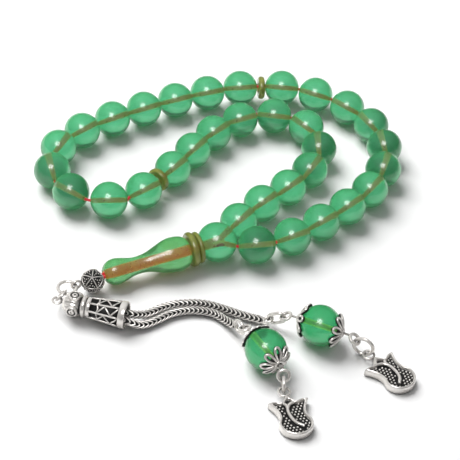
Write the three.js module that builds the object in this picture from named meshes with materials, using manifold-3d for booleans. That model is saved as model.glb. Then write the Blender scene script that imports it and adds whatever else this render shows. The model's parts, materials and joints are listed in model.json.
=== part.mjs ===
// Prayer beads (misbaha) of 33 green beads, laid out on a table, with a silver tassel.
// Millimetres, +Z up, the table is the plane z = 0, and the origin is on it under the middle of the piece.
// A string runs through a three-hole joining bead, round the loop of beads and back into it. Both of its
// ends then go on through two collar rings and the imame, the long bead, to a metal ball. Rings, a bell
// cap, two foxtail chains and two charms, each a bead and a tulip, hang on the ball.
import * as THREE from 'three';
import { mergeVertices } from 'three/addons/utils/BufferGeometryUtils.js';
import Module from 'manifold-3d';

const wasm = await Module();
wasm.setup();

// ---- Beads and string ----
const BEAD_DIAMETER = 8;
const BEAD_BORE = 1;
const BEAD_GAP = 0.15;
const BEADS_IN_A_THIRD = 11;
const THIRDS = 3;
const LOOSE_GAPS = { 10: 0.3, 21: 0.4 }; // extra room before these beads, where the string is slack
const SEPARATOR_DIAMETER = 5.3;
const SEPARATOR_THICKNESS = 1.6;
const SEPARATOR_BORE = 2.1;
const STRING_DIAMETER = 0.6;
const STRAND_OFFSET = 0.42; // each of the two strands from the middle of the tail's bores
const STRING_IN_BALL = 0.3; // how far the string's ends go into the ball
const STRAND_IN_IMAME = 0.8; // the strands straighten this far inside the imame's tip
const STRAND_BEND = [1.2, 1.4]; // from the joining bead's centre, where a strand turns from bore to bore
const JOINING_BEAD_DIAMETER = 8.4;
const TAIL_BORE = 2.2;

// ---- Tail: collar rings, imame and metal ball, by their distance from the joining bead's centre ----
const TAIL_HEADING = 208; // degrees from +X
const TAIL_DROP = 0.05; // the tail's axis falls this much for each millimetre
const COLLARS = [
  { diameter: 6.8, bore: 3.0, thickness: 1.1, distance: 4.3 },
  { diameter: 7.4, bore: 2.6, thickness: 1.5, distance: 5.75 },
];
const IMAME_START = 6.6;
const IMAME_LENGTH = 18.5;
// The imame's outline, [share of its length, radius]: a wide bulb, a slim neck and a narrow bulb.
const IMAME_OUTLINE = [
  [0, 2.6], [0.04, 3.2], [0.1, 3.55], [0.18, 3.65], [0.26, 3.45], [0.36, 2.85], [0.47, 2.15], [0.57, 1.85],
  [0.67, 1.95], [0.77, 2.45], [0.85, 2.72], [0.92, 2.55], [0.97, 2.0], [1, 1.3],
];
const BALL_DIAMETER = 4.9;
const BALL_HEADING = 222;
const BALL_GAP = 0.3;
const BALL_BORE_END = 0.4; // how far past the ball's middle its bore ends

// ---- Tassel fittings: R is a ring's radius at the middle of its wire, and r is the wire's radius ----
const TASSEL_HEIGHT = 2.8; // of the ball's, rings' and cap's middles over the table
const LINK_PLAY = 0.1; // free play between two linked wires
const BALL_EYE = { R: 0.95, r: 0.28, heading: 207, distance: 3.5 };
const TASSEL_RING_1 = { R: 1.85, r: 0.36, heading: 220 };
const TASSEL_RING_2 = { R: 1.35, r: 0.26, heading: 249, lean: 35 };
const CAP_PIN_EYE = { R: 0.9, r: 0.26 };
const CAP_PIN_LOOP = { R: 1.0, r: 0.22, distance: 8.15 }; // holds the chains inside the cap
const CAP_HEADING = -10;
const CAP_SIDES = 16;
const CAP_WALL = 0.3;
const CAP_HOLE = 0.9; // diameter of the hole for the pin
const CAP_GAP = 0.15; // between the pin's eye and the cap's tip
// The cap's outside, [distance from its tip, radius]: head, waist bead, and a skirt that flares to its rim.
const CAP_OUTLINE = [
  [0, 0.9], [0.35, 1.5], [1.1, 2.0], [2.2, 2.2], [3.2, 1.95], [3.8, 1.65], [4.0, 2.1], [4.45, 2.25],
  [4.9, 2.0], [5.2, 2.05], [7.4, 2.2], [11.8, 2.62], [11.9, 2.78], [13.1, 2.8],
];
const CAP_LENGTH = CAP_OUTLINE.at(-1)[0];
const CAP_INSIDE = [
  [CAP_LENGTH, 2.8 - CAP_WALL], [11.8, 2.62 - CAP_WALL], [7.4, 2.2 - CAP_WALL], [5.2, 2.05 - CAP_WALL],
  [4.9, 1.3], [1.4, 1.2], [0.7, CAP_HOLE / 2], [0, CAP_HOLE / 2],
];
const CAP_BOSSES = 4;
const CAP_BOSS = { top: 1.25, foot: 1.45, height: 1.2, distance: 2.25, middle: 2.0 };
// Windows round the skirt, [distance, across]: a slot near the waist, then triangles that leave a lattice.
const CAP_WINDOWS = 8;
const CAP_WINDOW_OUTLINES = [
  [[5.7, -0.3], [7.2, -0.35], [7.2, 0.35], [5.7, 0.3]],
  [[7.8, -0.55], [9.5, 0], [7.8, 0.55]],
  [[9.9, -0.6], [11.5, 0], [9.9, 0.6]],
];
const CAP_WINDOW_FROM = 1; // each window is cut from this far off the axis
const CAP_WINDOW_DEPTH = 3;

// ---- Chains and charms ----
const CHAIN_DIAMETER = 1.8;
const CHAIN_TOP_LOOP = { R: 0.65, r: 0.2, side: 0.34 };
const CHAIN_SIDE = 0.92; // each chain from the cap's axis
const CHAIN_STEPS = 24;
const CHAIN_SPREAD = 0.1; // how much further from the axis each chain is at the cap's mouth
const CHAIN_SAG = 0.4; // how far it has fallen there
const SOLDER = 0.4; // how far a soldered loop sinks into the piece it is on
const CHARM_BEAD_DIAMETER = 8.3;
const CHARM_BEAD_BORE = 1.2;
const PETALS = 8;
const PETAL_CAP_GAP = 0.15;
const PETAL_CAP_WALL = 0.45;
const PETAL_REACH = 47; // degrees from the bead's pole to the petals' tips
const PETAL_HUB = { radius: 0.9, height: 0.5, angle: 14, boreAngle: 8, play: 0.15 };
const PETAL_NOTCH = [[-3.9, 0], [-2.2, -0.9], [-2.2, 0.9]];
const PIN_EYE = { R: 1.1, r: 0.33, distance: 6.3 };
const PIN_WIRE_RADIUS = 0.24;
const OVAL_LINK = { R: 1.8, r: 0.34, stretch: 0.65 };
const TULIP_THICKNESS = 1.8;
const TULIP_RECESS = 0.5;
const TULIP_LOOP = { R: 1.1, r: 0.26, height: 1.2 };
const OFF_TABLE = 0.05; // the jump rings stand this far clear of the table

// ---- Routes on the table, [x, y], before the whole layout is moved over the origin ----
const MIDDLE = [-2.475, -3.028];
const LOOP_ROUTE = [
  [-2.5, -9], [6, -8.5], [13, -5], [22, 3.5], [29, 12], [32.5, 20], [33, 28.5], [30.3, 36],
  [25, 42], [17.5, 46.2], [9, 47.9], [-1, 46.2], [-12, 41.1], [-22.5, 34.5], [-32.5, 27], [-38.2, 20.5],
  [-40, 13], [-37.8, 5.8], [-31.2, 1.8], [-23.5, 2.2], [-17.4, 8], [-12.8, 15.5], [-8, 24.4], [-3, 31.4],
  [4, 36.1], [12, 35.8], [17.4, 30], [17.8, 21.8], [14, 14], [8, 7], [3.5, 1.4], [-2.5, -9],
];
// The chains on the table, [x, y, z], between the cap's mouth and their end loops.
const CHAIN_A_ROUTE = [
  [-16, -29.5, 1.3], [-14.2, -28.2, 0.95], [-12.4, -26.8, 0.95], [-10, -25.5, 0.95], [-7.3, -24.7, 0.95],
  [-4.5, -24.4, 0.95], [-1.7, -24.8, 0.95], [1.2, -25.7, 0.95], [4.5, -26.8, 0.95],
];
const CHAIN_B_ROUTE = [
  [-16.4, -32.4, 1.3], [-14.7, -31.6, 0.95], [-12.8, -30.2, 0.95], [-10.4, -28.2, 0.95], [-7.6, -26.9, 0.95],
  [-4.6, -26.5, 0.95], [-1.6, -27.0, 0.95], [0.7, -28.8, 1.2],
];

// A charm: its bead's middle and heading, the headings of the fittings before and after it, its chain's end
// loop, its jump ring, its oval link where it has one, and which way its tulip's divider curves.
const CHARM_A = {
  bead: [19.5, -30.9], heading: -19, backHeading: 167, eyeHeading: -20, hangHeading: -25, tulipHeading: -43,
  chainLoop: { R: 1.0, r: 0.34 }, chainHeight: 0.95, ring: { R: 2.0, r: 0.36 }, flip: 1,
  link: OVAL_LINK,
};
const CHARM_B = {
  bead: [9.0, -38.9], heading: -54, backHeading: 133, eyeHeading: -85, hangHeading: -100, tulipHeading: -72,
  chainLoop: { R: 1.4, r: 0.34 }, chainHeight: 2.1, ring: { R: 1.4, r: 0.36 }, flip: -1,
};

// A tulip's outline from the middle of its tip: half of the small petal, a side petal, and the rounded foot.
const TULIP_NOTCH = [1.91, 1.33];
const TULIP_PETAL = [1.46, 4.08];
const TULIP_PETAL_BEND = [1.27, 2.66];
const TULIP_FLANK = [[3.37, 3.04], [5.19, 2.71], [7.01, 3.32], [8.74, 2.85], [9.83, 1.52], [10.19, 0]];
// Its three recesses, inside a raised border and a raised S-shaped divider.
const TULIP_RECESSES = [
  [[0.82, 0], [1.64, 0.71], [2.09, 0.47], [1.55, -0.57]],
  [
    [2, 3.42], [3.37, 2.38], [5.19, 2.09], [7.01, 2.66], [8.37, 2.28], [9.28, 1.14], [9.55, 0], [9.1, -1.42],
    [8.55, -1.71], [7.92, -0.38], [6.73, 0.62], [5.19, 1.04], [3.73, 1.14], [2.82, 1.04], [2.37, 1.8],
  ],
  [
    [2.09, -3.13], [3.46, -2.38], [5.19, -2.09], [6.83, -2.66], [7.83, -2.38], [7.28, -0.85], [6.28, 0],
    [5.1, 0.33], [3.82, 0.28], [2.91, -0.19], [2.27, -1.33],
  ],
];

// ---- Materials ----
const resin = (color) => new THREE.MeshStandardMaterial({ color, roughness: 0.2, metalness: 0 });
const greenResin = resin(0x3fae74);
const charmResin = resin(0x2f9e62);
const oliveResin = resin(0x8a9440);
const redString = new THREE.MeshStandardMaterial({ color: 0xc01035, roughness: 0.8, metalness: 0 });
const silver = new THREE.MeshStandardMaterial({ color: 0xc9c4bc, roughness: 0.3, metalness: 1 });

const UP = new THREE.Vector3(0, 0, 1);
const misbaha = new THREE.Group();
misbaha.position.set(-MIDDLE[0], -MIDDLE[1], 0);

// ---- Helpers ----

// The level direction at an angle from +X.
function heading(degrees) {
  const turn = THREE.MathUtils.degToRad(degrees);
  return new THREE.Vector3(Math.cos(turn), Math.sin(turn), 0);
}

function moved(point, direction, distance) {
  return point.clone().addScaledVector(direction, distance);
}

// The unit direction with a heading that falls by a drop over a length.
function falling(degrees, drop, length) {
  const slope = drop / length;
  return heading(degrees).multiplyScalar(Math.sqrt(1 - slope ** 2)).setZ(-slope);
}

// The frame whose X axis lies along one direction, and whose Z axis is as near as it can be to the normal.
function basis(along, normal = UP) {
  const x = along.clone().normalize();
  const z = normal.clone().addScaledVector(x, -normal.dot(x)).normalize();
  return new THREE.Matrix4().makeBasis(x, z.clone().cross(x), z);
}

// Adds a piece that is made in its own frame.
function add(name, geometry, material, centre, along, normal = UP) {
  const mesh = new THREE.Mesh(geometry, material);
  mesh.name = name;
  mesh.position.copy(centre);
  mesh.quaternion.setFromRotationMatrix(basis(along, normal));
  misbaha.add(mesh);
}

// A closed geometry as a solid that can be joined and cut.
function solid(geometry) {
  const bare = geometry.clone();
  bare.deleteAttribute('normal');
  bare.deleteAttribute('uv');
  const merged = mergeVertices(bare, 1e-4);
  const vertProperties = Float32Array.from(merged.attributes.position.array);
  const triVerts = Uint32Array.from(merged.index.array);
  return new wasm.Manifold(new wasm.Mesh({ numProp: 3, vertProperties, triVerts }));
}

function geometryOf(body) {
  const mesh = body.getMesh();
  const geometry = new THREE.BufferGeometry();
  geometry.setAttribute('position', new THREE.BufferAttribute(mesh.vertProperties, 3));
  geometry.setIndex(new THREE.BufferAttribute(mesh.triVerts, 1));
  return geometry;
}

// A body turned about the X axis from its profile, a closed list of [distance along X, radius].
function turned(profile, sides) {
  const points = profile.map(([x, radius]) => new THREE.Vector2(radius, x));
  points.push(points[0].clone());
  return new THREE.LatheGeometry(points, sides).rotateZ(-Math.PI / 2);
}

// A round rod or hole along X, from one distance to another.
function rod(radius, from, to, sides) {
  return new THREE.CylinderGeometry(radius, radius, to - from, sides)
    .rotateZ(-Math.PI / 2).translate((from + to) / 2, 0, 0);
}

// How far apart the middles of two linked rings are when they are pulled tight.
function linked(a, b) {
  return a.R + b.R - a.r - b.r - LINK_PLAY;
}

// A wire ring in the XY plane.
function ring({ R, r }) {
  return new THREE.TorusGeometry(R, r, 6, 16);
}

// The part of a turned bead's profile that is an arc about [0, 0], from one pole's bore to the other's.
function arcProfile(radius, bore, steps) {
  const first = Math.asin(bore / 2 / radius);
  return Array.from({ length: steps + 1 }, (_, i) => {
    const angle = first + (Math.PI - 2 * first) * (i / steps);
    return [-radius * Math.cos(angle), radius * Math.sin(angle)];
  });
}

function drilledBead(diameter, bore, sides, steps) {
  return turned(arcProfile(diameter / 2, bore, steps), sides);
}

// A ring bead whose section is an ellipse.
function ringBead({ diameter, bore, thickness }, sides, steps) {
  const middle = (diameter + bore) / 4;
  const width = (diameter - bore) / 4;
  const profile = Array.from({ length: steps }, (_, i) => {
    const angle = Math.PI * 2 * i / steps;
    return [-thickness / 2 * Math.cos(angle), middle + width * Math.sin(angle)];
  });
  return turned(profile, sides);
}

// A curve that is read at its own points, so that a tube along it turns only there.
class Polyline extends THREE.Curve {
  constructor(points) {
    super();
    this.points = points;
  }

  getPointAt(u, target = new THREE.Vector3()) {
    const place = u * (this.points.length - 1);
    const i = Math.min(Math.floor(place), this.points.length - 2);
    return target.lerpVectors(this.points[i], this.points[i + 1], place - i);
  }

  getTangentAt(u, target = new THREE.Vector3()) {
    const i = Math.round(u * (this.points.length - 1));
    const before = this.points[Math.max(i - 1, 0)];
    const here = this.points[i];
    const after = this.points[Math.min(i + 1, this.points.length - 1)];
    const into = here.clone().sub(before).normalize();
    return target.copy(after).sub(here).normalize().add(into).normalize();
  }
}

// A tube of flat sides through a list of points.
function tube(points, diameter, sides = 8) {
  const section = new THREE.Shape(Array.from({ length: sides }, (_, i) => {
    const angle = Math.PI * 2 * i / sides;
    return new THREE.Vector2(Math.cos(angle), Math.sin(angle)).multiplyScalar(diameter / 2);
  }));
  return new THREE.ExtrudeGeometry(section, {
    steps: points.length - 1,
    extrudePath: new Polyline(points),
  });
}

// ---- Loop of beads ----

const loop = new THREE.CatmullRomCurve3(
  LOOP_ROUTE.map(([x, y]) => new THREE.Vector3(x, y, BEAD_DIAMETER / 2)), false, 'catmullrom', 0.5,
);

// The place on the loop, from 0 to 1, that is a straight distance further on than another place. It is
// closed in on by halves, and is never more than a span and a half of the route away.
function stepAlong(place, distance) {
  const from = loop.getPoint(place);
  const halvings = 40;
  let near = place;
  let far = place + 1.5 / (LOOP_ROUTE.length - 1);
  for (let i = 0; i < halvings; i += 1) {
    const middle = (near + far) / 2;
    if (loop.getPoint(middle).distanceTo(from) < distance) {
      near = middle;
    } else {
      far = middle;
    }
  }
  return near;
}

const joiningBead = new THREE.Vector3(...LOOP_ROUTE[0], JOINING_BEAD_DIAMETER / 2);
const beadCentres = [];
let place = 0;
for (let i = 1; i <= BEADS_IN_A_THIRD * THIRDS; i += 1) {
  let spacing = BEAD_DIAMETER + BEAD_GAP + (LOOSE_GAPS[i] ?? 0);
  if (i === 1) {
    spacing = (BEAD_DIAMETER + JOINING_BEAD_DIAMETER) / 2 + BEAD_GAP;
  } else if (i % BEADS_IN_A_THIRD === 1) {
    spacing = BEAD_DIAMETER + SEPARATOR_THICKNESS + 2 * BEAD_GAP;
  }
  place = stepAlong(place, spacing);
  beadCentres.push(loop.getPoint(place));
}

// Each bead's bore lies along the line between its neighbours' centres.
const neighbours = [joiningBead, ...beadCentres, joiningBead];
const beadHeadings = beadCentres.map((_, i) => {
  const along = neighbours[i + 2].clone().sub(neighbours[i]);
  return along.setZ(0).normalize();
});

beadCentres.forEach((centre, i) => {
  const bead = drilledBead(BEAD_DIAMETER, BEAD_BORE, 12, 5);
  add(`bead_${String(i + 1).padStart(2, '0')}`, bead, greenResin, centre, beadHeadings[i]);
});

for (let i = 1; i < THIRDS; i += 1) {
  const before = beadCentres[i * BEADS_IN_A_THIRD - 1];
  const after = beadCentres[i * BEADS_IN_A_THIRD];
  const size = { diameter: SEPARATOR_DIAMETER, bore: SEPARATOR_BORE, thickness: SEPARATOR_THICKNESS };
  const middle = before.clone().add(after).multiplyScalar(0.5);
  add(`separator_${i}`, ringBead(size, 14, 8), oliveResin, middle, after.clone().sub(before));
}

// ---- Tail ----

const tailAxis = heading(TAIL_HEADING).setZ(-TAIL_DROP).normalize();
const tailSide = new THREE.Vector3().crossVectors(UP, tailAxis).normalize();

// The joining bead has one bore for the tail and one towards each end of the loop.
const boreRuns = [
  moved(beadCentres.at(0), beadHeadings.at(0), -BEAD_DIAMETER / 2).sub(joiningBead).normalize(),
  moved(beadCentres.at(-1), beadHeadings.at(-1), BEAD_DIAMETER / 2).sub(joiningBead).normalize(),
];
let joiningSolid = solid(new THREE.SphereGeometry(JOINING_BEAD_DIAMETER / 2, 16, 10));
joiningSolid = joiningSolid.subtract(solid(rod(TAIL_BORE / 2, -1, JOINING_BEAD_DIAMETER, 10)));
const toTail = basis(tailAxis).invert();
for (const run of boreRuns) {
  const along = run.clone().applyMatrix4(toTail);
  const bore = rod(BEAD_BORE / 2, 0, JOINING_BEAD_DIAMETER, 10);
  bore.applyQuaternion(new THREE.Quaternion().setFromUnitVectors(new THREE.Vector3(1, 0, 0), along));
  joiningSolid = joiningSolid.subtract(solid(bore));
}
add('joining_bead', geometryOf(joiningSolid), greenResin, joiningBead, tailAxis);

COLLARS.forEach((collar, i) => {
  const centre = moved(joiningBead, tailAxis, collar.distance);
  add(`collar_ring_${i + 1}`, ringBead(collar, 16, 8), oliveResin, centre, tailAxis);
});

const imameProfile = [
  [0, TAIL_BORE / 2],
  ...IMAME_OUTLINE.map(([share, radius]) => [share * IMAME_LENGTH, radius]),
  [IMAME_LENGTH, TAIL_BORE / 2],
];
const imameStart = moved(joiningBead, tailAxis, IMAME_START);
add('imame', turned(imameProfile, 16), greenResin, imameStart, tailAxis);

// The ball is drilled from the imame's side, and its eye is soldered on at the other.
const imameTip = moved(imameStart, tailAxis, IMAME_LENGTH);
const ballRun = heading(BALL_HEADING);
const ballCentre = moved(imameTip, ballRun, BALL_DIAMETER / 2 + BALL_GAP).setZ(TASSEL_HEIGHT);
const eyeRun = heading(BALL_EYE.heading);
const eyeCentre = moved(ballCentre, eyeRun, BALL_EYE.distance);
const ballEye = ring(BALL_EYE).rotateX(Math.PI / 2).translate(BALL_EYE.distance, 0, 0);
const ballBore = rod(TAIL_BORE / 2, -BALL_DIAMETER, BALL_BORE_END, 10)
  .rotateZ(THREE.MathUtils.degToRad(BALL_HEADING - BALL_EYE.heading));
const ballSolid = solid(new THREE.SphereGeometry(BALL_DIAMETER / 2, 14, 10))
  .add(solid(ballEye)).subtract(solid(ballBore));
add('metal_ball', geometryOf(ballSolid), silver, ballCentre, eyeRun);

// ---- String ----

// One length: out of the ball, through the imame and collars, round the loop, and back the same way.
function tailPoints(side) {
  const shift = tailSide.clone().multiplyScalar(side * STRAND_OFFSET);
  const ballSide = new THREE.Vector3().crossVectors(UP, ballRun).multiplyScalar(side * STRAND_OFFSET);
  return [
    moved(ballCentre, ballRun, STRING_IN_BALL - BALL_DIAMETER / 2).add(ballSide),
    moved(imameTip, tailAxis, -STRAND_IN_IMAME).add(shift),
    moved(imameTip, tailAxis, -IMAME_LENGTH / 2).add(shift),
    moved(joiningBead, tailAxis, JOINING_BEAD_DIAMETER / 2).add(shift),
    moved(joiningBead, tailAxis, STRAND_BEND[0]).add(shift),
  ];
}
const stringPoints = [
  ...tailPoints(1),
  moved(joiningBead, boreRuns[0], STRAND_BEND[1]),
  ...beadCentres.flatMap((centre, i) => [
    moved(centre, beadHeadings[i], -BEAD_DIAMETER / 2),
    moved(centre, beadHeadings[i], BEAD_DIAMETER / 2),
  ]),
  moved(joiningBead, boreRuns[1], STRAND_BEND[1]),
  ...tailPoints(-1).reverse(),
];
add('string', tube(stringPoints, STRING_DIAMETER), redString, new THREE.Vector3(), heading(0));

// ---- Tassel rings and cap ----

// Each flat ring turns about the far wire of the upright one it hangs on.
const ring1Run = heading(TASSEL_RING_1.heading);
const eyeFarWire = moved(eyeCentre, eyeRun, BALL_EYE.R);
const ring1Centre = moved(eyeFarWire, ring1Run, linked(BALL_EYE, TASSEL_RING_1) - BALL_EYE.R);
add('tassel_ring_1', ring(TASSEL_RING_1), silver, ring1Centre, ring1Run);

// The second ring stands in its run, and leans.
const ring2Run = heading(TASSEL_RING_2.heading);
const ring2Centre = moved(ring1Centre, ring2Run, linked(TASSEL_RING_1, TASSEL_RING_2));
const ring2Normal = new THREE.Vector3().crossVectors(UP, ring2Run)
  .applyAxisAngle(ring2Run, -THREE.MathUtils.degToRad(TASSEL_RING_2.lean));
add('tassel_ring_2', ring(TASSEL_RING_2), silver, ring2Centre, ring2Run, ring2Normal);

const capRun = heading(CAP_HEADING);
const capSide = new THREE.Vector3().crossVectors(UP, capRun);
const pinEyeCentre = moved(ring2Centre, ring2Run, linked(TASSEL_RING_2, CAP_PIN_EYE));
const capPinRod = rod(CAP_PIN_EYE.r, CAP_PIN_EYE.R, CAP_PIN_LOOP.distance - CAP_PIN_LOOP.R, 8);
const capPin = solid(ring(CAP_PIN_EYE)).add(solid(capPinRod))
  .add(solid(ring(CAP_PIN_LOOP).translate(CAP_PIN_LOOP.distance, 0, 0)));
add('cap_pin', geometryOf(capPin), silver, pinEyeCentre, capRun);

let capSolid = solid(turned([...CAP_OUTLINE, ...CAP_INSIDE], CAP_SIDES));
for (let i = 0; i < CAP_BOSSES; i += 1) {
  const boss = new THREE.CylinderGeometry(CAP_BOSS.top, CAP_BOSS.foot, CAP_BOSS.height, 12)
    .rotateX(Math.PI / 2).translate(CAP_BOSS.distance, 0, CAP_BOSS.middle);
  capSolid = capSolid.add(solid(boss.rotateX(Math.PI * 2 * i / CAP_BOSSES)));
}

for (let i = 0; i < CAP_WINDOWS; i += 1) {
  for (const corners of CAP_WINDOW_OUTLINES) {
    const outline = new THREE.Shape(corners.map(([x, y]) => new THREE.Vector2(x, y)));
    const prism = new THREE.ExtrudeGeometry(outline, { depth: CAP_WINDOW_DEPTH, bevelEnabled: false });
    prism.translate(0, 0, CAP_WINDOW_FROM).rotateX(Math.PI * 2 * i / CAP_WINDOWS);
    capSolid = capSolid.subtract(solid(prism));
  }
}
const capTip = moved(pinEyeCentre, capRun, CAP_PIN_EYE.R + CAP_PIN_EYE.r + CAP_GAP);
add('tassel_cap', geometryOf(capSolid), silver, capTip, capRun);

// ---- Charms: chain loop, link, pin with its bead and petal caps, jump ring and tulip ----

// One petal cap, on the end of the bead that is towards -X: a hub, and petals cut apart by notches.
function petalCap() {
  const inner = CHARM_BEAD_DIAMETER / 2 + PETAL_CAP_GAP;
  const outer = inner + PETAL_CAP_WALL;
  const top = -outer - PETAL_HUB.height;
  const hole = PIN_EYE.r + PETAL_HUB.play;
  const arc = (radius, from, to) => [0, 1, 2, 3].map((step) => {
    const angle = THREE.MathUtils.degToRad(from + (to - from) * step / 3);
    return [-radius * Math.cos(angle), radius * Math.sin(angle)];
  });
  let cap = solid(turned([
    [top, hole], [top, PETAL_HUB.radius], ...arc(outer, PETAL_HUB.angle, PETAL_REACH),
    ...arc(inner, PETAL_REACH, PETAL_HUB.boreAngle), [-inner, hole],
  ], PETALS * 2));
  const notch = new THREE.Shape(PETAL_NOTCH.map(([x, y]) => new THREE.Vector2(x, y)));
  for (let i = 0; i < PETALS; i += 1) {
    const prism = new THREE.ExtrudeGeometry(notch, { depth: outer, bevelEnabled: false });
    prism.translate(0, 0, PETAL_HUB.radius).rotateX(Math.PI * 2 * i / PETALS);
    cap = cap.subtract(solid(prism));
  }
  return geometryOf(cap);
}

function mirrored([x, y], flip) {
  return new THREE.Vector2(x, y * flip);
}

// A tulip on its back, from the middle of its loop towards +X.
function tulip(flip) {
  const tip = TULIP_LOOP.R;
  const half = (side) => TULIP_FLANK.map((point) => mirrored(point, side));
  const outline = new THREE.Shape();
  outline.moveTo(0, 0);
  outline.lineTo(...TULIP_NOTCH);
  outline.quadraticCurveTo(...TULIP_PETAL_BEND, ...TULIP_PETAL);
  outline.splineThru([...half(1), ...half(-1).reverse().slice(1)]);
  outline.lineTo(...mirrored(TULIP_PETAL, -1));
  outline.quadraticCurveTo(...mirrored(TULIP_PETAL_BEND, -1), ...mirrored(TULIP_NOTCH, -1));
  const plate = new THREE.ExtrudeGeometry(outline, {
    depth: TULIP_THICKNESS, bevelEnabled: false, curveSegments: 3,
  });
  let body = solid(plate.translate(tip, 0, 0));
  for (const recess of TULIP_RECESSES) {
    const floor = new THREE.Shape(recess.map((point) => mirrored(point, flip)));
    const prism = new THREE.ExtrudeGeometry(floor, { depth: TULIP_THICKNESS, bevelEnabled: false });
    body = body.subtract(solid(prism.translate(tip, 0, TULIP_THICKNESS - TULIP_RECESS)));
  }
  body = body.add(solid(ring(TULIP_LOOP).translate(0, 0, TULIP_LOOP.height)));
  return geometryOf(body);
}

// A long link, whose R is its half length: a round ring whose two halves are drawn apart along X.
function ovalLink({ R, r, stretch }) {
  const link = ring({ R: R - stretch, r });
  const place = link.attributes.position;
  for (let i = 0; i < place.count; i += 1) {
    const x = place.getX(i);
    if (Math.abs(x) > 1e-6) {
      place.setX(i, x + Math.sign(x) * stretch);
    }
  }
  return link;
}

// A foxtail chain as the plain body that its woven links fill, with a loop soldered on each end.
function chain(side, route, { end, endRun, endLoop, endNormal }) {
  const topLoop = moved(pinEyeCentre, capRun, CAP_PIN_LOOP.distance + linked(CAP_PIN_LOOP, CHAIN_TOP_LOOP));
  const start = moved(topLoop, capRun, CHAIN_TOP_LOOP.R - CHAIN_TOP_LOOP.r / 2);
  const mouth = moved(capTip, capRun, CAP_LENGTH);
  const points = [
    moved(start, capSide, side * CHAIN_SIDE),
    moved(mouth, capSide, side * (CHAIN_SIDE + CHAIN_SPREAD)).setZ(TASSEL_HEIGHT - CHAIN_SAG),
    ...route.map((point) => new THREE.Vector3(...point)),
    end,
  ];
  const line = new THREE.CatmullRomCurve3(points).getSpacedPoints(CHAIN_STEPS);
  const topRing = ring(CHAIN_TOP_LOOP).applyMatrix4(basis(capRun, capSide)
    .setPosition(moved(topLoop, capSide, side * CHAIN_TOP_LOOP.side)));
  const endRing = ring(endLoop).applyMatrix4(basis(endRun, endNormal)
    .setPosition(moved(end, endRun, endLoop.R + endLoop.r - SOLDER)));
  return geometryOf(solid(tube(line, CHAIN_DIAMETER)).add(solid(topRing)).add(solid(endRing)));
}

// Adds a charm and returns where and how its chain ends.
function addCharm(letter, charm) {
  const height = CHARM_BEAD_DIAMETER / 2;
  const centre = new THREE.Vector3(...charm.bead, height);
  const run = heading(charm.heading);
  const { link } = charm;

  // Back from the pin's near end, down to the chain.
  const backEnd = moved(centre, run, -PIN_EYE.distance);
  const sizes = [PIN_EYE, ...(link ? [link] : []), charm.chainLoop];
  const spans = sizes.slice(1).map((size, i) => linked(sizes[i], size));
  const backLength = PIN_EYE.R + spans.reduce((sum, span) => sum + span, 0)
    + charm.chainLoop.R + charm.chainLoop.r - SOLDER;
  const back = falling(charm.backHeading, height - charm.chainHeight, backLength);
  const backEye = moved(backEnd, back, PIN_EYE.R);
  const upright = new THREE.Vector3().crossVectors(UP, back);
  if (link) {
    add(`charm_link_${letter}`, ovalLink(link), silver, moved(backEye, back, spans[0]), back, upright);
  }

  // On from its far end, down to the jump ring, which stands just clear of the table.
  const farEnd = moved(centre, run, PIN_EYE.distance);
  const ringHeight = charm.ring.R + charm.ring.r + OFF_TABLE;
  const toRing = PIN_EYE.R + linked(PIN_EYE, charm.ring);
  const on = falling(charm.eyeHeading, height - ringHeight, toRing);
  const farEye = moved(farEnd, on, PIN_EYE.R);
  const ringCentre = moved(farEnd, on, toRing);
  const ringNormal = new THREE.Vector3().crossVectors(UP, on);
  add(`charm_ring_${letter}`, ring(charm.ring), silver, ringCentre, on, ringNormal);

  // The tulip's loop hangs by its near wire inside the ring, and the tulip lies on its flat back.
  const hangLength = charm.ring.R - charm.ring.r - TULIP_LOOP.r - LINK_PLAY;
  const hang = falling(charm.hangHeading, ringHeight - TULIP_LOOP.height, hangLength);
  const tulipRun = heading(charm.tulipHeading);
  const loopCentre = moved(moved(ringCentre, hang, hangLength), tulipRun, TULIP_LOOP.R).setZ(0);
  add(`tulip_${letter}`, tulip(charm.flip), silver, loopCentre, tulipRun);

  // The pin is one wire, with an eye bent down at each end.
  const toPin = basis(run).setPosition(centre).invert();
  let pin = solid(rod(PIN_WIRE_RADIUS, -PIN_EYE.distance, PIN_EYE.distance, 8));
  for (const [eye, along] of [[backEye, back], [farEye, on]]) {
    pin = pin.add(solid(ring(PIN_EYE).applyMatrix4(basis(along).setPosition(eye)).applyMatrix4(toPin)));
  }
  add(`charm_pin_${letter}`, geometryOf(pin), silver, centre, run);
  const bead = drilledBead(CHARM_BEAD_DIAMETER, CHARM_BEAD_BORE, 16, 8);
  add(`charm_bead_${letter}`, bead, charmResin, centre, run);
  add(`petal_cap_${letter}1`, petalCap(), silver, centre, run);
  add(`petal_cap_${letter}2`, petalCap(), silver, centre, run.clone().negate());

  return {
    end: moved(backEnd, back, backLength),
    endRun: back.clone().negate(),
    endLoop: charm.chainLoop,
    endNormal: link ? UP : upright,
  };
}

add('chain_a', chain(1, CHAIN_A_ROUTE, addCharm('a', CHARM_A)), silver, new THREE.Vector3(), heading(0));
add('chain_b', chain(-1, CHAIN_B_ROUTE, addCharm('b', CHARM_B)), silver, new THREE.Vector3(), heading(0));

export default misbaha;
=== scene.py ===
"""Looks of the misbaha prayer beads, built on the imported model. Sizes are in millimetres unless a name says
otherwise, and points are in the row frame: the origin is on the table under the middle of the piece."""
import json
import math
from itertools import combinations

import bmesh
import bpy
from mathutils import Matrix, Vector


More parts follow.
